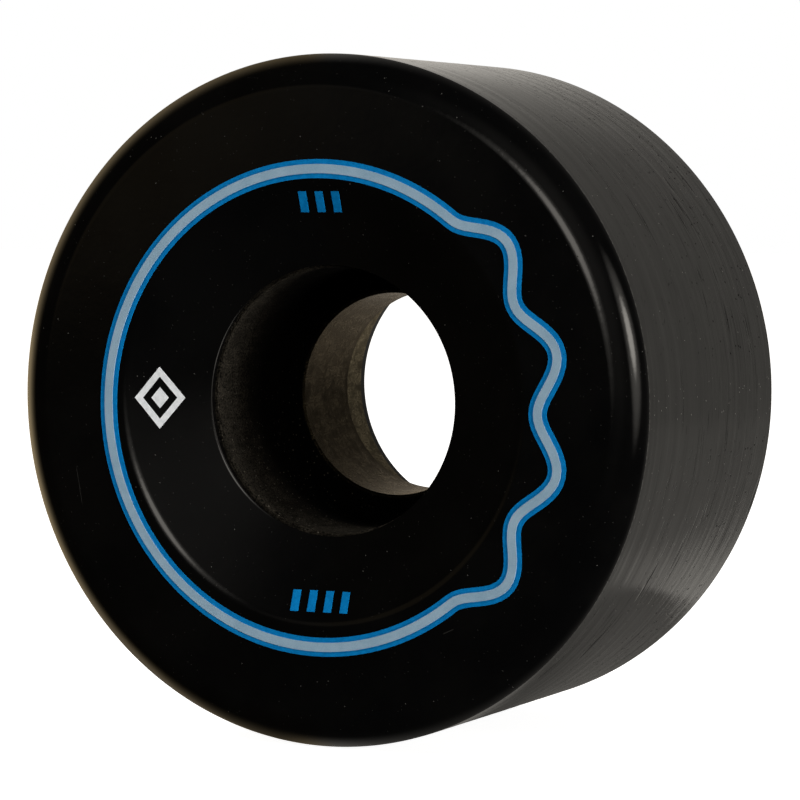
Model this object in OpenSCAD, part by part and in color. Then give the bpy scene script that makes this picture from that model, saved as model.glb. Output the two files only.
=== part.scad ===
// Roller skate wheel: a cast urethane tyre on a moulded core with two bearing seats.
// The wheel turns about Y. The printed front face looks along -Y, and the origin is at the wheel's middle.

/* [Wheel] */
// Diameter over the tread
wheel_d = 57; // [54:0.5:66]
// Width from the print on the front face to the rear face
wheel_w = 32; // [31:0.5:36]
// How far each rounded shoulder reaches in from the tread
shoulder_w = 2.9; // [2:0.1:4]
// How far each rounded shoulder falls back from its face
shoulder_h = 1.5; // [0.8:0.1:1.9]

/* [Front recess] */
// Diameter at which the recess's cone would meet the face
recess_d = 36; // [33:0.1:40]
// Depth of the recess at the bearing mouth
recess_depth = 2.55; // [1.5:0.05:3.5]
// Rounding where the face turns down into the recess
rim_round = 3; // [0.8:0.1:3.5]
// Width of the flatter ledge around the bearing mouth
floor_w = 0.4; // [0.2:0.05:1]
// How far the ledge falls towards the mouth
floor_drop = 0.07; // [0.02:0.01:0.15]

/* [Mouths] */
// Gap between the bearing's outside and the urethane lip around it
lip_gap = 0.2; // [0.2:0.05:0.5]
// Depth of the urethane lip over the end of the core
lip_h = 1; // [0.5:0.05:1.5]
// Bevel on the edge of the lip
lip_bevel = 0.1; // [0.05:0.05:0.4]

/* [Core] */
// Diameter of the bearing seats
bearing_d = 22; // [19:0.5:24]
// Distance between the two bearing shelves
web_w = 8.6; // [7:0.1:10.5]
// How far the middle of the web lies behind the middle of the wheel
web_offset = 3.1; // [0:0.1:3.5]
// Diameter of the clearance bore through the web
web_bore_d = 17.3; // [12:0.1:18.5]
// Bevel at the mouth of each seat and at the edges of the web's bore
edge_bevel = 0.15; // [0.1:0.05:0.5]
// Wall of the core outside the bearing seats
core_wall = 2.4; // [1.6:0.1:3]
// Number of locking ribs round the core
rib_count = 3; // [2:1:4]
// Width of a locking rib
rib_w = 2.4; // [1.5:0.1:3.5]
// Height of a locking rib above the core
rib_h = 1.8; // [0.8:0.1:2.5]
// Number of keys that stop the tyre turning on the core
key_count = 8; // [4:1:12]
// Width of a key
key_w = 4; // [2:0.5:5]
// Height of a key above the core
key_h = 1.2; // [0.5:0.1:2]

/* [Print] */
// Thickness of one layer of ink
ink_t = 0.05; // [0.02:0.01:0.1]
// Gap between the edge of the recess and the printed ring, where they come closest
ring_gap = 0.3; // [0.2:0.05:1]
// Width of the blue base of the ring
ring_base_w = 1.55; // [1:0.05:2]
// Width of the silver band on the base
ring_band_w = 0.75; // [0.3:0.05:0.9]
// How far the printed ring sits below the wheel's axis
ring_drop = 0.5; // [0:0.1:0.6]
// Number of waves in the wavy stretch of the ring
wave_count = 4; // [2:1:6]
// How far a wave swings out from the ring
wave_h = 2.2; // [0.5:0.1:2.6]
// Angle that the wavy stretch takes up, centred on +X
wave_span = 104; // [60:2:140]
// Number of bars in the mark at the top
top_bars = 3; // [2:1:5]
// Number of bars in the mark at the bottom
bottom_bars = 4; // [2:1:6]
// Length of a bar
bar_len = 1.7; // [1:0.1:2.2]
// Width of a bar
bar_w = 0.7; // [0.4:0.05:1]
// Distance between the middles of neighbouring bars
bar_pitch = 1.5; // [1.2:0.1:2]
// Gap between the rounding of the rim and the marks inside it
mark_gap = 0.25; // [0.2:0.05:0.6]
// Height of the white lozenge
lozenge_h = 5.2; // [3:0.1:6]
// Gap between the lozenge and the ledge around the mouth
lozenge_gap = 1.65; // [0.5:0.05:2.5]
// Width of the lozenge's line
lozenge_line = 0.5; // [0.3:0.05:0.7]

/* [Hidden] */
$fn = 96;

wheel_r = wheel_d / 2;
rear_y = wheel_w / 2;
face_y = 2 * ink_t - wheel_w / 2;
face_r = wheel_r - shoulder_w;
shoulder_r = (shoulder_w * shoulder_w + shoulder_h * shoulder_h) / (2 * shoulder_h);

// The recess is a cone, with its rim rounded and a flatter ledge around the mouth
lip_r = bearing_d / 2 + lip_gap;
floor_r = lip_r + floor_w;
mouth_y = face_y + recess_depth;
floor_y = mouth_y - floor_drop;
cone_slope = atan2(recess_depth - floor_drop, recess_d / 2 - floor_r);
rim_r = recess_d / 2 + rim_round * tan(cone_slope / 2);
cone_r = rim_r - rim_round * sin(cone_slope);
cone_y = face_y + rim_round * (1 - cos(cone_slope));

core_front_y = mouth_y + lip_h;
core_rear_y = rear_y - lip_h;
core_len = core_rear_y - core_front_y;
core_r = bearing_d / 2 + core_wall;
shelf_front_y = web_offset - web_w / 2;
shelf_rear_y = web_offset + web_w / 2;
rib_pitch = core_len / rib_count;

ring_r = recess_d / 2 + ring_gap + ring_drop + ring_base_w / 2;
wave_step = 1.3;
plain_step = 2;
mark_out_r = cone_r - mark_gap;
lozenge_w = mark_out_r - floor_r - lozenge_gap;
lozenge_x = mark_out_r - lozenge_w / 2;

// Turns a profile drawn as radius and height into a solid about Y
module about_y() {
    rotate([-90, 0, 0]) rotate_extrude() children();
}

// Raises a flat drawing, seen from the front, from the plane y towards -Y
module raised(y, h) {
    translate([0, y, 0]) rotate([90, 0, 0]) linear_extrude(h) children();
}

// Profile of the urethane's outside: a cylinder with both corners rounded
module wheel_profile() {
    intersection() {
        translate([0, face_y]) square([wheel_r, rear_y - face_y]);
        union() {
            translate([0, face_y]) square([face_r, rear_y - face_y]);
            translate([0, face_y + shoulder_r]) square([wheel_r, rear_y - face_y - 2 * shoulder_r]);
            translate([face_r, face_y + shoulder_r]) circle(shoulder_r);
            translate([face_r, rear_y - shoulder_r]) circle(shoulder_r);
        }
    }
}

// Profile of what the front recess and the bevel of its lip take away
module recess_profile() {
    bevel_y = mouth_y - lip_bevel * floor_drop / floor_w;
    difference() {
        polygon([
            [0, face_y - 1], [rim_r, face_y - 1], [rim_r, face_y], [cone_r, cone_y], [floor_r, floor_y],
            [lip_r + lip_bevel, bevel_y], [lip_r, mouth_y + lip_bevel], [0, mouth_y + lip_bevel]
        ]);
        translate([rim_r, face_y + rim_round]) circle(rim_round);
    }
}

// Profile of what the bevel of the rear lip takes away
module rear_bevel_profile() {
    polygon([
        [0, rear_y - lip_bevel], [lip_r, rear_y - lip_bevel],
        [lip_r + lip_bevel, rear_y], [lip_r + lip_bevel, rear_y + 1], [0, rear_y + 1]
    ]);
}

// Outside of the core, with the ribs and keys that the urethane grips
module core_outside() {
    about_y() {
        translate([0, core_front_y]) square([core_r, core_len]);
        for (i = [0 : rib_count - 1])
            translate([0, core_front_y + (i + 0.5) * rib_pitch - rib_w / 2])
                square([core_r + rib_h, rib_w]);
    }
    for (i = [0 : key_count - 1])
        rotate([0, i * 360 / key_count, 0])
            translate([0, core_front_y + rib_pitch / 2, -key_w / 2])
                cube([core_r + key_h, (rib_count - 1) * rib_pitch, key_w]);
}

// Profile of a bearing seat, from its shelf out through its bevelled mouth
module seat_profile(shelf_y, mouth_y) {
    r = bearing_d / 2;
    dir = sign(mouth_y - shelf_y);
    polygon([
        [0, shelf_y], [r, shelf_y], [r, mouth_y - dir * edge_bevel], [r + edge_bevel, mouth_y],
        [r + edge_bevel, mouth_y + dir], [0, mouth_y + dir]
    ]);
}

// Profile of the web's bore with both edges bevelled
module web_bore_profile() {
    r = web_bore_d / 2;
    polygon([
        [0, shelf_front_y - 1], [r + edge_bevel, shelf_front_y - 1], [r + edge_bevel, shelf_front_y],
        [r, shelf_front_y + edge_bevel], [r, shelf_rear_y - edge_bevel], [r + edge_bevel, shelf_rear_y],
        [r + edge_bevel, shelf_rear_y + 1], [0, shelf_rear_y + 1]
    ]);
}

// Cast urethane with a turned tread, a recessed printed face and a plain rear face
module tyre() {
    color([0.03, 0.03, 0.03]) difference() {
        about_y() difference() {
            wheel_profile();
            recess_profile();
            translate([0, face_y]) square([lip_r, wheel_w]);
            rear_bevel_profile();
        }
        core_outside();
    }
}

// Moulded nylon core with a bearing seat at each end of a web
module core() {
    color([0.16, 0.15, 0.14]) difference() {
        core_outside();
        about_y() {
            seat_profile(shelf_front_y, core_front_y);
            seat_profile(shelf_rear_y, core_rear_y);
            web_bore_profile();
        }
    }
}

// Radius of the ring's middle line and its rate of change at angle a
function wave_turn(a) = wave_count * 360 / wave_span * (a + wave_span / 2);
function in_wave(a) = abs(a) < wave_span / 2;
function ring_mid(a) = ring_r + (in_wave(a) ? wave_h * (1 - cos(wave_turn(a))) / 2 : 0);
function ring_rate(a) = in_wave(a) ? wave_h / 2 * sin(wave_turn(a)) * wave_count * 360 / wave_span : 0;

// A point of the ring's edge, off to one side of its middle line
function ring_point(a, off) =
    let (
        m = ring_mid(a),
        d = ring_rate(a),
        out = m + off * m / norm([m, d]),
        along = off * d / norm([m, d])
    )
    [out * cos(a) + along * sin(a), out * sin(a) - along * cos(a)];

// Angles along the ring, closer together in the wavy stretch
ring_angles = concat(
    [for (a = [-wave_span / 2 : wave_step : wave_span / 2 - wave_step / 2]) a],
    [for (a = [wave_span / 2 : plain_step : 360 - wave_span / 2 - plain_step / 2]) a]
);

// Flat drawing of a ring of one width, plain but for its wavy stretch
module ring_drawing(width) {
    translate([0, -ring_drop]) difference() {
        polygon([for (a = ring_angles) ring_point(a, width / 2)]);
        polygon([for (a = ring_angles) ring_point(a, -width / 2)]);
    }
}

// Ink that lies on the recess's cone wherever the drawing falls
module ink_on_cone() {
    step = ink_t / cos(cone_slope);
    intersection() {
        about_y() polygon([
            [floor_r, floor_y], [cone_r, cone_y],
            [cone_r, cone_y - step], [floor_r, floor_y - step]
        ]);
        raised(floor_y, recess_depth + 1) children();
    }
}

// Row of short radial bars, side by side, reaching in from the mark line
module bars(count) {
    for (i = [0 : count - 1])
        translate([(i - (count - 1) / 2) * bar_pitch - bar_w / 2, mark_out_r - bar_len])
            square([bar_w, bar_len]);
}

// Lozenge of a given half height and half width
module lozenge(h, w) {
    polygon([[0, h], [w, 0], [0, -h], [-w, 0]]);
}

// Blue base of the printed ring, on the flat of the front face
module ring_base() {
    color([0.03, 0.45, 0.75]) raised(face_y, ink_t) ring_drawing(ring_base_w);
}

// Silver band printed over the blue base
module ring_band() {
    color([0.6, 0.66, 0.7]) raised(face_y - ink_t, ink_t) ring_drawing(ring_band_w);
}

// Blue bars at the top of the recess
module top_mark() {
    color([0.03, 0.45, 0.75]) ink_on_cone() bars(top_bars);
}

// Blue bars at the bottom of the recess
module bottom_mark() {
    color([0.03, 0.45, 0.75]) ink_on_cone() mirror([0, 1]) bars(bottom_bars);
}

// White lozenge outline with a solid one inside it, at the left of the recess
module side_mark() {
    half_h = lozenge_h / 2;
    half_w = lozenge_w / 2;
    inner = 1 - lozenge_line * norm([half_h, half_w]) / (half_h * half_w);
    middle = inner / 2;
    color([0.92, 0.93, 0.93]) ink_on_cone() translate([-lozenge_x, 0]) {
        difference() {
            lozenge(half_h, half_w);
            lozenge(half_h * inner, half_w * inner);
        }
        lozenge(half_h * middle, half_w * middle);
    }
}

tyre();
core();
ring_base();
ring_band();
top_mark();
bottom_mark();
side_mark();
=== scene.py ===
import math

import bpy
import numpy as np
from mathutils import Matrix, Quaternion, Vector


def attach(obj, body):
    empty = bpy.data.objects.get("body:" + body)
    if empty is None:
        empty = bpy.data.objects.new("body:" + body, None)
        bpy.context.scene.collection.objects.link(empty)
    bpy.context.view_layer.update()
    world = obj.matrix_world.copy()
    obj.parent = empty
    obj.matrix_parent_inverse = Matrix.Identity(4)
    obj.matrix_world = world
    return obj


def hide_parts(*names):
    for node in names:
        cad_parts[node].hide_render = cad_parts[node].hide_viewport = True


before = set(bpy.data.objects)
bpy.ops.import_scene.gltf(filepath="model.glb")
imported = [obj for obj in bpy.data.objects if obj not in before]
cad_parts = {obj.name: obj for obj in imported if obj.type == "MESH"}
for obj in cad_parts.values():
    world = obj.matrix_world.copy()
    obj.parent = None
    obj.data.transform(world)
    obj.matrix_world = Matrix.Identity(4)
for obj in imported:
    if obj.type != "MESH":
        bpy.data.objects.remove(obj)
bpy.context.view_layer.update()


# Core
# A tube of black nylon, moulded in one shot, with a bearing seat at each end of a thick web.
# The urethane is cast round it and grips its ribs and keys, so only the seats and the web's bore show.
# Sizes are in millimetres here and below: radii from the axle, and places along it.
MM = 0.001
core_front, core_rear = -12.35, 15.0
core_outer, seat, web_bore = 13.4, 11.0, 8.65
shelf_front, shelf_rear = -1.2, 7.4
seat_bevel, web_bevel, shelf_fillet, past_fillet = 0.15, 0.15, 0.1, 0.5
rib_reach, rib_half, ribs = 15.2, 1.2, (-7.792, 1.325, 10.442)
key_reach, key_half, keys = 14.6, 2.0, 8
steps_round = 360


def arc(centre, radius, start, end, steps):
    """Points of an arc in a profile. Angles are in degrees, 0 away from the axle and 90 along +Y."""
    turns = np.radians(np.linspace(start, end, steps + 1))
    return [(centre[0] + radius * math.cos(t), centre[1] + radius * math.sin(t)) for t in turns]


def run(a, b, steps):
    """Evenly spaced points from a to b of a profile, without b."""
    return [(a[0] + (b[0] - a[0]) * i / steps, a[1] + (b[1] - a[1]) * i / steps) for i in range(steps)]


def grip():
    """The joint between core and urethane as a profile, from the rear end to the front, with the ribs."""
    points = [(core_outer, core_rear)]
    for middle in reversed(ribs):
        for reach, side in ((core_outer, 1), (rib_reach, 1), (rib_reach, -1), (core_outer, -1)):
            points.append((reach, middle + side * rib_half))
    return points + [(core_outer, core_front)]


def key_shift(r, y, turn):
    """Moves the joint out where a key stands, between the first rib and the last."""
    step = 2 * math.pi / keys
    off = np.abs((turn + step / 2) % step - step / 2)
    between_ribs = (np.abs(r - core_outer) < 1e-6) & (y > ribs[0]) & (y < ribs[-1])
    return np.where(between_ribs & (off < key_half / key_reach), key_reach, r), y


def placed(name, data):
    """A new object in the scene."""
    thing = bpy.data.objects.new(name, data)
    bpy.context.scene.collection.objects.link(thing)
    return thing


def turned(name, profile, shifts, second_from=None, second_to=None):
    """Turns a closed profile about Y into a mesh. Shifts move its points, and corners stay sharp.
    Faces between the profile's points second_from and second_to take the second material."""
    ring = np.array(profile)
    count = len(ring)
    turns = np.arange(steps_round) * 2 * math.pi / steps_round
    r = np.repeat(ring[None, :, 0], steps_round, 0)
    y = np.repeat(ring[None, :, 1], steps_round, 0)
    turn = np.repeat(turns[:, None], count, 1)
    for shift in shifts:
        r, y = shift(r, y, turn)
    points = np.stack([r * np.cos(turn), y, r * np.sin(turn)], -1).reshape(-1, 3) * MM
    i, j = np.meshgrid(np.arange(steps_round), np.arange(count), indexing="ij")
    i_next, j_next = (i + 1) % steps_round, (j + 1) % count
    quads = np.stack([i * count + j, i * count + j_next, i_next * count + j_next, i_next * count + j], -1)
    mesh = bpy.data.meshes.new(name)
    mesh.from_pydata(points.tolist(), [], quads.reshape(-1, 4).tolist())
    before, after = ring - np.roll(ring, 1, 0), np.roll(ring, -1, 0) - ring
    cross = before[:, 0] * after[:, 1] - before[:, 1] * after[:, 0]
    sharp_bend = math.radians(24)
    corner = np.abs(np.arctan2(cross, (before * after).sum(1))) > sharp_bend
    ends = np.zeros(len(mesh.edges) * 2, int)
    mesh.edges.foreach_get("vertices", ends)
    ends = ends.reshape(-1, 2) % count
    along_ring = (ends[:, 0] == ends[:, 1]) & corner[ends[:, 0]]
    mesh.polygons.foreach_set("use_smooth", np.ones(len(mesh.polygons), bool))
    mesh.attributes.new("sharp_edge", "BOOLEAN", "EDGE").data.foreach_set("value", along_ring)
    if second_from is not None:
        inside = (j >= second_from) & (j < second_to)
        mesh.polygons.foreach_set("material_index", inside.reshape(-1).astype(np.int32))
    mesh.update()
    return placed(name, mesh)


core_profile = (
    [(seat + seat_bevel, core_front)]
    + run((seat, core_front + seat_bevel), (seat, shelf_front - shelf_fillet), 10)
    + arc((seat - shelf_fillet, shelf_front - shelf_fillet), shelf_fillet, 0, 90, 4)
    + run((seat - past_fillet, shelf_front), (web_bore + web_bevel, shelf_front), 4)
    + [(web_bore + web_bevel, shelf_front)]
    + run((web_bore, shelf_front + web_bevel), (web_bore, shelf_rear - web_bevel), 8)
    + [(web_bore, shelf_rear - web_bevel)]
    + run((web_bore + web_bevel, shelf_rear), (seat - shelf_fillet, shelf_rear), 4)
    + arc((seat - shelf_fillet, shelf_rear + shelf_fillet), shelf_fillet, -90, 0, 4)
    + run((seat, shelf_rear + past_fillet), (seat, core_rear - seat_bevel), 8)
    + [(seat, core_rear - seat_bevel), (seat + seat_bevel, core_rear)]
    + grip()
)
core = turned("moulded_core", core_profile, [key_shift])


class Wire:
    """A socket in a node tree. Sums and products of wires and numbers add Math nodes to the tree."""

    def __init__(self, tree, socket=None):
        self.tree, self.socket = tree, socket

    def add(self, kind, settings=None, inputs=None, out=0):
        """Adds a node: its settings first, then the values or wires of its sockets. Gives back one output."""
        node = self.tree.nodes.new("ShaderNode" + kind)
        for key, value in (settings or {}).items():
            setattr(node, key, value)
        for key, value in (inputs or {}).items():
            if isinstance(value, Wire):
                self.tree.links.new(value.socket, node.inputs[key])
            else:
                node.inputs[key].default_value = value
        return Wire(self.tree, node.outputs[out]) if len(node.outputs) else None

    def maths(self, operation, a, b=0.0):
        return self.add("Math", {"operation": operation}, {0: a, 1: b})

    def __add__(self, other):
        return self.maths("ADD", self, other)

    def __radd__(self, other):
        return self.maths("ADD", other, self)

    def __sub__(self, other):
        return self.maths("SUBTRACT", self, other)

    def __rsub__(self, other):
        return self.maths("SUBTRACT", other, self)

    def __mul__(self, other):
        return self.maths("MULTIPLY", self, other)

    def __rmul__(self, other):
        return self.maths("MULTIPLY", other, self)

    def __abs__(self):
        return self.maths("ABSOLUTE", self)

    def step(self, low, high):
        """Goes smoothly from 0 at low to 1 at high."""
        return self.add("MapRange", {"interpolation_type": "SMOOTHSTEP"}, {0: self, 1: low, 2: high})

    def mix(self, a, b):
        """Goes from colour a to colour b with this wire."""
        return self.add("Mix", {"data_type": "RGBA"}, {0: self, 6: a, 7: b}, 2)

    def scaled(self, x, y, z):
        """This vector with each of its parts multiplied."""
        return self.add("VectorMath", {"operation": "MULTIPLY"}, {0: self, 1: (x, y, z)})

    def dot(self, vector):
        """The dot product of this vector and a fixed one."""
        return self.add("VectorMath", {"operation": "DOT_PRODUCT"}, {0: self, 1: vector}, 1)

    def part(self, index):
        """One part of this vector: 0 for x, 1 for y, 2 for z."""
        return self.add("SeparateXYZ", None, {0: self}, index)

    def noise(self, scale, detail=2.0, rough=0.5):
        """Soft noise at this place."""
        return self.add("TexNoise", None, {
            "Vector": self, "Scale": scale, "Detail": detail, "Roughness": rough})

    def specks(self, scale, size, share):
        """1 in small dots, one in a share of the cells of a grid of random points."""
        cells = self.add("TexVoronoi", None, {"Vector": self, "Scale": scale})
        pick = self.add("TexVoronoi", None, {"Vector": self, "Scale": scale}, 1)
        chosen = self.add("SeparateColor", None, {0: pick}).step(1 - share, 1 - share + 0.01)
        return (1 - cells.step(size * 0.5, size)) * chosen


def finish_of(name, look):
    """A material whose nodes the function look adds."""
    material = bpy.data.materials.new(name)
    material.use_nodes = True
    material.node_tree.nodes.clear()
    start = Wire(material.node_tree)
    start.add("OutputMaterial", None, {"Surface": look(start)})
    return material


def in_mm(start):
    """The place on the piece, in millimetres."""
    return start.add("TexCoord", None, None, "Object").scaled(1000, 1000, 1000)


def from_axle(place):
    """The distance of a place from the axle."""
    return place.add("VectorMath", {"operation": "LENGTH"}, {0: place.scaled(1, 0, 1)}, 1)


def moulded_nylon(start):
    """Dull black nylon with a coarse grain, in painted shade deeper in the front seat. A film of tan dust lies on
    the web's bore and in the rear seat, paler in the rear seat by painted light.
    """
    black, dusty, speck_grey = (0.0010, 0.0009, 0.0008, 1), (0.056, 0.048, 0.036, 1), (0.14, 0.126, 0.10, 1)
    thin_tan, thick_tan, rear_painted_light_tan = (0.010, 0.008, 0.005, 1), (0.070, 0.058, 0.034, 1), (0.24, 0.21, 0.135, 1)
    place = in_mm(start)
    depth, height = place.part(1), place.part(2)
    rear = depth.step(shelf_rear - 0.2, shelf_rear + 0.1)
    handled = from_axle(place).step(web_bore + 0.3, web_bore + 0.17) * (1 - rear) + rear
    # Painted shade: the grey of dust and grain fades to black deeper in the front seat.
    painted_light_near_mouth = depth.step(-4.5, -8.5)
    low = height.step(3, -8)
    bloom = place.noise(0.55, 5, 0.62).step(0.34, 0.66)
    drawn = place.scaled(1.0, 0.25, 1.0).noise(1.6, 4, 0.6).step(0.36, 0.66)
    grain = place.noise(6.5, 3, 0.7)
    specks = place.specks(3.0, 0.26, 0.25)
    cover = (0.35 + bloom * 0.4 + drawn * 0.3) * (0.1 + grain.step(0.38, 0.62) * 1.5)
    colour = (cover * (0.02 + painted_light_near_mouth * 0.50)).mix(black, dusty)
    colour = (specks * (0.25 + low * 0.75)).mix(colour, speck_grey)
    grained = start.add("Bump", None, {"Strength": 1.0, "Distance": 0.12 * MM, "Height": grain + specks * 0.5})
    nylon = start.add("BsdfPrincipled", None, {
        "Base Color": colour, "Roughness": 0.75 + grain * 0.25, "Specular IOR Level": 0.06, "Normal": grained})
    # Less film and a darker tone over the last millimetre of the web's bore, towards its rear end.
    thinner_film_at_web_end = depth.step(shelf_rear - 1.1, shelf_rear - 0.2) * (1 - rear)
    stain = place.noise(0.9, 5, 0.7).step(0.38, 0.62) * 0.6 + drawn * 0.4
    stain = stain * (0.3 + grain.step(0.36, 0.64) * 0.9) * (1 - thinner_film_at_web_end * 0.8)
    tan = stain.mix(thin_tan, thick_tan)
    # Painted light: the film is paler in the rear seat, where more light comes in from behind.
    tan = (rear * (0.3 + stain)).mix(tan, rear_painted_light_tan)
    even = start.add("Bump", None, {"Strength": 1.0, "Distance": 0.03 * MM, "Height": grain * 0.5 + stain})
    film = start.add("BsdfPrincipled", None, {
        "Base Color": tan, "Metallic": 1.0, "Specular Tint": (1.0, 0.90, 0.77, 1),
        "Roughness": 0.31 - stain * 0.08, "Normal": even})
    return start.add("MixShader", None, {0: handled * (0.6 + stain * 0.4), 1: nylon, 2: film})


core.data.materials.append(finish_of("moulded_nylon", moulded_nylon))
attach(core, "root")
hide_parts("core")


# Tyre
# Black urethane cast round the core, so its faces, shoulders and front recess have the mould's gloss.
# The tread is turned afterwards, which leaves it grey and finely lined, with a sharp edge to each shoulder.
wheel, face_y, rear_y, face = 28.5, -15.9, 16.0, 25.6
shoulder, shoulder_end = 3.553, 54.7
mouth_y, floor, floor_bend = -13.35, 11.397, 1.0
rim_round, lip, lip_round, lip_tilt, undercut = 3.0, 11.2, 0.02, math.radians(10), 0.18
tread_front, tread_rear, tread_steps = -14.4, 14.5, 116
lip_top = (lip + lip_round * (1 - math.sin(lip_tilt)), mouth_y + lip_round * (1 - math.cos(lip_tilt)))
bend_mid = (lip_top[0] - floor_bend * math.sin(lip_tilt), lip_top[1] - floor_bend * math.cos(lip_tilt))
slope = math.asin((floor - bend_mid[0]) / floor_bend)
floor_y = bend_mid[1] + floor_bend * math.cos(slope)
rim = floor + (floor_y - face_y) / math.tan(slope) + rim_round * math.tan(slope / 2)


def on_cone(r):
    """A point of the recess's cone."""
    return (r, floor_y - (r - floor) * math.tan(slope))


front_of_tyre = (
    run((lip + undercut, core_front), (lip, mouth_y + lip_round), 3)
    + arc((lip + lip_round, mouth_y + lip_round), lip_round, 180, 270 - math.degrees(lip_tilt), 5)
    + arc(bend_mid, floor_bend, 90 - math.degrees(lip_tilt), 90 - math.degrees(slope), 8)[1:]
    + run(on_cone(floor + 0.4), on_cone(rim - rim_round * math.sin(slope) - 0.3), 8)
    + arc((rim, face_y + rim_round), rim_round, -90 - math.degrees(slope), -90, 14)
    + run((rim + 0.4, face_y), (face, face_y), 14)
    + arc((face, face_y + shoulder), shoulder, -90, -90 + shoulder_end, 26)[:-1]
)
tread_band = run((wheel, tread_front), (wheel, tread_rear), tread_steps) + [(wheel, tread_rear)]
rear_of_tyre = (
    arc((face, rear_y - shoulder), shoulder, 90 - shoulder_end, 90, 22)[1:]
    + run((face - 0.6, rear_y), (lip + lip_round, rear_y), 12)
    + arc((lip + lip_round, rear_y - lip_round), lip_round, 90, 180, 6)
    + [(lip, core_rear)]
)
tyre_profile = front_of_tyre + tread_band + rear_of_tyre + grip()
chance = np.random.default_rng(57)


def around(turn, waves, top):
    """Smooth random swing between -1 and 1 round the wheel, from a few waves of up to top turns each."""
    swing = np.zeros_like(turn)
    for _ in range(waves):
        swing += np.sin(turn * chance.integers(1, top) + chance.uniform(0, 2 * math.pi))
    return swing / waves


def turning_shift(r, y, turn):
    """The lathe's shallow feed lines on the tread, a few microns deep, and a slightly ragged edge."""
    feed_lines, feed_depth = 14, 0.0008
    on_tread = r > wheel - 0.001
    depth = np.zeros_like(r)
    for _ in range(feed_lines):
        pitch = chance.uniform(0.7, 3.2)
        sway = around(turn, 3, 5) * 1.5
        phase = chance.uniform(0, 6.28)
        depth += np.sin(y / pitch * 2 * math.pi + sway + phase) * feed_depth * pitch
    depth = np.where(on_tread, depth - depth.max(), 0)
    ragged = around(turn, 9, 90) * 0.02 + around(turn, 6, 30) * 0.015
    edge = (np.abs(y - tread_front) < 1e-6) | (np.abs(y - tread_rear) < 1e-6)
    return r + depth, np.where(on_tread & edge, y - np.sign(y) * np.abs(ragged), y)


def casting_shift(r, y, turn):
    """The cast faces lie a few microns off flat, always inwards."""
    wave = (around(turn, 4, 7) * np.sin(r * 0.9) + around(turn, 4, 4)) * 0.0012 + 0.0024
    on_face = (y < face_y + 0.001) & (r > rim)
    return r, np.where(on_face, y + wave, y)


tyre = turned("cast_tyre", tyre_profile, [key_shift, casting_shift, turning_shift],
              len(front_of_tyre), len(front_of_tyre) + len(tread_band) - 1)


def hairlines(place, lines):
    """1 on straight fine scratches of a face. Each line is its middle, direction, length and width."""
    x, z = place.part(0), place.part(2)
    total = 0
    for (mid_x, mid_z), angle, length, width in lines:
        c, s = math.cos(math.radians(angle)), math.sin(math.radians(angle))
        along = (x - mid_x) * c + (z - mid_z) * s
        across = (z - mid_z) * c - (x - mid_x) * s
        near = 1 - abs(across).step(width * 0.4, width)
        within = 1 - abs(along).step(length * 0.3, length * 0.5)
        total = near * within + total
    return total


def cast_urethane(start):
    """Glossy black urethane with a faint haze, sparse dust and a few hairline scratches."""
    black, hazy, dust_grey = (0.0014, 0.0014, 0.0015, 1), (0.0027, 0.0026, 0.0025, 1), (0.16, 0.155, 0.14, 1)
    place = in_mm(start)
    haze = place.noise(0.12, 4, 0.6).step(0.35, 0.7)
    peel = place.noise(1.6, 2, 0.5)
    dust = place.specks(2.0, 0.13, 0.05) + place.specks(3.4, 0.17, 0.16) * 0.3
    scratch = hairlines(place, [
        ((-16.9, 23.4), 70, 2.4, 0.05), ((11.8, -18.2), 25, 1.2, 0.05), ((-22.5, -7.5), 100, 3.8, 0.03)])
    colour = (dust * 0.45 + scratch * 0.12).mix(haze.mix(black, hazy), dust_grey)
    height = peel * 0.35 + dust * 0.6 - scratch * 0.8
    rear_lip = from_axle(place).step(lip + 0.3, lip + 0.1) * place.part(1).step(core_rear - 1.0, core_rear - 0.1)
    uneven = start.add("Bump", None, {"Strength": 0.3, "Distance": 0.03 * MM, "Height": height})
    return start.add("BsdfPrincipled", None, {
        "Base Color": colour, "Roughness": 0.08 + haze * 0.03 + dust * 0.3 + rear_lip * 0.5, "Normal": uneven})


def streaks(place, along, across, detail=2, rough=0.5):
    """Noise drawn out round the tread: along is its scale round the wheel, across its scale over the width."""
    return place.scaled(along, across, along).noise(1.0, detail, rough)


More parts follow.
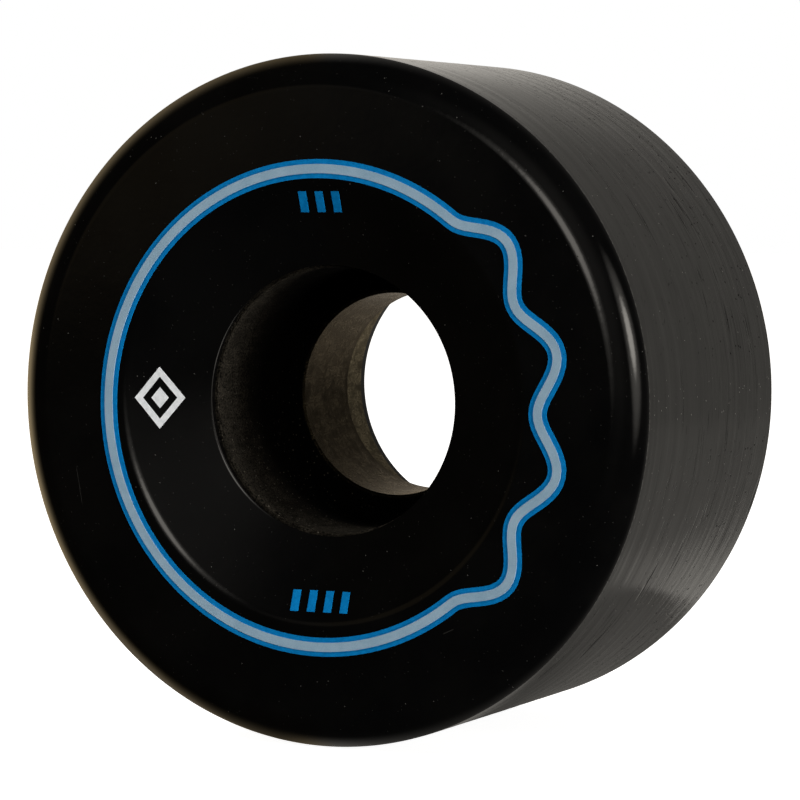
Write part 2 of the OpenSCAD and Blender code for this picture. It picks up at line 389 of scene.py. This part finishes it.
def turned_urethane(start):
    """Grey turned urethane: fine lines round the tread, stronger towards the rear, with scores, pits and dust.
    Lines, scores and pits are cut too rough to shine."""
    dark_grey, light_grey = (0.0052, 0.0050, 0.0046, 1), (0.0128, 0.0125, 0.0112, 1)
    line_grey, dust_grey, cut_black = (0.022, 0.0215, 0.019, 1), (0.13, 0.125, 0.11, 1), (0.0008, 0.0008, 0.0007, 1)
    place = in_mm(start)
    y = place.part(1)
    rear = y.step(-9, 12)
    fine = streaks(place, 0.05, 5.0, 3, 0.6)
    lines = streaks(place, 0.06, 1.6, 5, 0.7)
    pale_lines = streaks(place, 0.10, 9.0).step(0.58, 0.70)
    dark_lines = streaks(place, 0.10, 5.5).step(0.60, 0.70)
    dashes = streaks(place, 0.35, 6.5).step(0.62, 0.70)
    patch = streaks(place, 0.14, 0.5).step(0.58, 0.68)
    score = abs(streaks(place, 0.025, 1.2, 1, 0.4) - 0.5).step(0.034, 0.010) * patch
    film = place.noise(0.16, 4, 0.6)
    pits = place.specks(2.2, 0.30, 0.16) * (0.35 + rear * 0.65)
    dust = place.specks(2.0, 0.17, 0.10)
    worn = y.step(tread_front + 0.35, tread_front) * place.noise(3.2, 3, 0.6).step(0.45, 0.6)
    tone = film.step(0.3, 0.7) * 0.4 + lines.step(0.3, 0.7) * 0.3 + fine.step(0.25, 0.75) * 0.3
    colour = (pale_lines * (0.25 + rear * 0.75)).mix(tone.mix(dark_grey, light_grey), line_grey)
    colour = (dust * 0.8 + worn * 0.3).mix(colour, dust_grey)
    height = (fine * 0.12 + lines * 0.24) * (0.3 + rear * 0.9) - score * 0.6 - pits * 0.7 + dust * 0.3
    lined = start.add("Bump", None, {"Strength": 1.0, "Distance": 0.1 * MM, "Height": height})
    skin = start.add("BsdfPrincipled", None, {
        "Base Color": colour, "Roughness": 0.09 + fine * 0.04 + film * 0.03, "Normal": lined})
    cut = start.add("BsdfPrincipled", None, {
        "Base Color": cut_black, "Roughness": 0.9, "Specular IOR Level": 0.05})
    dark = (dark_lines + dashes) * (0.12 + rear * 0.33) + score * 0.5 + pits * 0.8
    return start.add("MixShader", None, {0: dark, 1: skin, 2: cut})


tyre.data.materials.append(finish_of("cast_urethane", cast_urethane))
tyre.data.materials.append(finish_of("turned_urethane", turned_urethane))
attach(tyre, "root")
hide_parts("tyre")


# Printed ring
# Two layers of ink pad-printed on the flat of the face: a blue base, and a silver band on top of it.
# The silver has fine metal flake in it, so it looks slightly cloudy.
ink_bump = 0.02 * MM


def blue_ink(start):
    """Opaque blue ink with a slight mottle and pinholes."""
    deep, bright, pinhole = (0.002, 0.19, 0.51, 1), (0.004, 0.245, 0.63, 1), (0.003, 0.06, 0.16, 1)
    place = in_mm(start)
    mottle = place.noise(2.2, 4, 0.6)
    pinholes = place.specks(1.6, 0.06, 0.25)
    colour = (pinholes * 0.6).mix(mottle.step(0.3, 0.7).mix(deep, bright), pinhole)
    uneven = start.add("Bump", None, {"Strength": 0.2, "Distance": ink_bump, "Height": mottle})
    return start.add("BsdfPrincipled", None, {
        "Base Color": colour, "Roughness": 0.5 + mottle * 0.1, "Specular IOR Level": 0.06, "Normal": uneven})


def silver_ink(start):
    """Bluish silver ink, cloudy from its metal flake."""
    dull, bright = (0.29, 0.45, 0.58, 1), (0.40, 0.56, 0.69, 1)
    place = in_mm(start)
    cloud = place.noise(0.5, 4, 0.6).step(0.3, 0.7)
    flake = place.noise(9.0, 2, 0.5)
    colour = (cloud * 0.6 + flake.step(0.3, 0.7) * 0.4).mix(dull, bright)
    uneven = start.add("Bump", None, {"Strength": 0.2, "Distance": ink_bump, "Height": flake})
    return start.add("BsdfPrincipled", None, {
        "Base Color": colour, "Roughness": 0.5 + flake * 0.15, "Specular IOR Level": 0.1, "Normal": uneven})


def dress(node, material):
    """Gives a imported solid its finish."""
    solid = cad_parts[node]
    solid.data.materials.clear()
    solid.data.materials.append(material)


blue = finish_of("blue_ink", blue_ink)
dress("ring_base", blue)
dress("ring_band", finish_of("silver_ink", silver_ink))


# Marks in the recess
# Short blue bars at the top and the bottom of the recess's cone, and a white lozenge at its left.
# They are pad-printed too, one thin layer each.
def white_ink(start):
    """Opaque white ink, slightly uneven."""
    dull, bright = (0.70, 0.72, 0.73, 1), (0.86, 0.87, 0.88, 1)
    mottle = in_mm(start).noise(2.6, 4, 0.6)
    colour = mottle.step(0.3, 0.7).mix(dull, bright)
    uneven = start.add("Bump", None, {"Strength": 0.2, "Distance": ink_bump, "Height": mottle})
    return start.add("BsdfPrincipled", None, {
        "Base Color": colour, "Roughness": 0.45 + mottle * 0.1, "Specular IOR Level": 0.3, "Normal": uneven})


dress("top_mark", blue)
dress("bottom_mark", blue)
dress("side_mark", finish_of("white_ink", white_ink))


# Stage
# A white table in white surroundings. The gloss sees darker ones: a wall behind the wheel, soft lamps with
# blurred edges, and a glowing card on the table with the wheel's shadow painted on it. Three round lamps light what
# is dull and leave no reflection.
table_z, card_z = -28.6, -28.55


def sheet(name, low, high, z):
    """A flat sheet of the stage between two corners, which lights and shades nothing."""
    corners = ((low[0], low[1]), (high[0], low[1]), (high[0], high[1]), (low[0], high[1]))
    mesh = bpy.data.meshes.new(name)
    mesh.from_pydata([(x * MM, y * MM, z * MM) for x, y in corners], [], [(0, 1, 2, 3)])
    flat = placed(name, mesh)
    flat.visible_diffuse = flat.visible_shadow = False
    return flat


def table_white(start):
    """Plain white board, a little uneven and lit from below."""
    dull, bright = (0.86, 0.86, 0.85, 1), (0.90, 0.90, 0.89, 1)
    tone = in_mm(start).noise(0.02, 3, 0.5).mix(dull, bright)
    board = start.add("BsdfPrincipled", None, {"Base Color": tone, "Roughness": 0.9})
    below = start.add("Emission", None, {"Color": (1, 1, 1, 1), "Strength": 0.95})
    return start.add("AddShader", None, {0: board, 1: below})


table = sheet("table", (-3000, -3000), (3000, 3000), table_z)
table.visible_glossy = False
table.data.materials.append(finish_of("table_white", table_white))


def card_glow(start):
    """Glowing card with painted light and the wheel's painted shadow: darker in that shadow, brightest just behind
    it, fading out at its edges.
    """
    lamp_white, shadow_mid, shadow_round = (1.0, 0.95, 0.87, 1), (4.0, 22.4, card_z), 22.9
    place = in_mm(start)
    x, y = place.part(0), place.part(1)
    beyond = start.add("VectorMath", {"operation": "DISTANCE"}, {0: place, 1: shadow_mid}, 1) - shadow_round
    # Painted light, brightest just behind the wheel, and the wheel's painted shadow round shadow_mid.
    lit = 0.207 + x.step(38, 23) * y.step(18, 40) * 0.28
    shaded = 0.055 + y.step(-3, 22) * 0.085
    level = shaded + beyond.step(-0.8, 0.8) * (lit - shaded)
    fade = x.step(-70, 5) * x.step(255, 150) * y.step(-17, -7) * y.step(315, 180)
    shine = start.add("Emission", None, {"Color": level.mix((0, 0, 0, 1), lamp_white), "Strength": 1.0})
    return start.add("MixShader", None, {0: fade, 1: start.add("BsdfTransparent"), 2: shine})


card = sheet("card", (-80, -18), (260, 320), card_z)
card.visible_camera = False
card.data.materials.append(finish_of("card_glow", card_glow))

world = bpy.data.worlds.new("studio")
bpy.context.scene.world = world
world.use_nodes = True
world.node_tree.nodes.clear()
sky = Wire(world.node_tree)
way = sky.add("TexCoord", None, None, "Generated")
across, back, up = way.part(0), way.part(1), way.part(2)
left = across.step(0.02, -0.5)
farther = across.step(-0.25, -0.42)
farthest = across.step(-0.42, -0.55)
above_band = up.step(-0.02, 0.12) * 0.45
below_band = up.step(-0.1, -0.35) * 0.32 + up.step(-0.5, -0.75) * 0.48
wall_level = 0.165 + left * 0.28 + farther * 0.2 + farthest * (0.35 - back.step(0.3, 0.6) * 0.3)
wall = back.step(-0.3, 0.3) * wall_level * (1 - farthest * (above_band + below_band))
warm = across.step(-0.40, -0.50).mix((1.0, 0.95, 0.87, 1), (1.0, 0.77, 0.44, 1))
near = way.dot((0.116, -0.944, 0.309)).step(0.80, 1.06)


def toward(azimuth, elevation):
    """The direction to a lamp. Azimuth 0 is straight in front, 90 is to the right."""
    a, e = math.radians(azimuth), math.radians(elevation)
    return Vector((math.cos(e) * math.sin(a), -math.cos(e) * math.cos(a), math.sin(e)))


def glow(azimuth, elevation, width, height, strength, roll=0):
    """A soft box with a blurred edge, as a bright patch of the surroundings."""
    turn = toward(azimuth, elevation).to_track_quat("Z", "Y") @ Quaternion((0, 0, 1), math.radians(roll))
    side, top, front = (
        way.dot(turn @ Vector(axis)) for axis in ((2 / width, 0, 0), (0, 2 / height, 0), (0, 0, 1)))
    return (side * side + top * top).step(1.7, 0.3) * front.step(0.0, 0.1) * strength


front_lamp = glow(-9, 8, 0.23, 0.17, 2.4, roll=30) + glow(-9, 8, 0.38, 0.30, 0.45, roll=30)
side_lamp = glow(52, 12, 0.22, 0.26, 5.2) + glow(52, 10, 0.44, 0.60, 0.95)
left_haze = glow(-32, 5, 0.28, 0.22, 0.08)
shine = sky.add("Background", None, {
    "Color": warm, "Strength": 0.012 + wall + near * near * 0.15 + front_lamp + side_lamp + left_haze})
plain = sky.add("Background", None, {"Color": (1, 1, 1, 1), "Strength": 1.0})
backdrop = sky.add("MixShader", None, {0: sky.add("LightPath"), 1: shine, 2: plain})
sky.add("OutputWorld", None, {"Surface": backdrop})


def lamp(name, azimuth, elevation, size, radiance, away=1.0):
    """A round lamp that faces the wheel and leaves no reflection."""
    light = bpy.data.lights.new(name, "AREA")
    light.shape, light.size = "DISK", size
    light.energy = radiance * math.pi * math.pi / 4 * size * size
    disc = placed(name, light)
    disc.location = toward(azimuth, elevation) * away
    disc.rotation_euler = (-disc.location).to_track_quat("-Z", "Y").to_euler()
    disc.visible_camera = disc.visible_glossy = False


lamp("side_key", 78.5, -8, 0.20, 105.0)
lamp("top_key", -56, 44, 0.40, 16.0)
lamp("rear_fill", 173, 24.6, 0.024, 8.0, away=0.0575)


# Camera
# It stands in front of the wheel, a little to its right and above its axle, about 30 cm away.
# The shift puts the wheel where the photograph has it in the frame.
camera = placed("camera", bpy.data.cameras.new("camera"))
camera.location = (0.128570, -0.271350, 0.015757)
camera.rotation_euler = (-camera.location).to_track_quat("-Z", "Y").to_euler()
camera.data.lens, camera.data.sensor_width = 157.733, 36.0
camera.data.shift_x, camera.data.shift_y = -0.00046, -0.00837
camera.data.clip_start, camera.data.clip_end = 0.01, 20
bpy.context.scene.camera = camera
bpy.context.scene.view_settings.view_transform = "Standard"
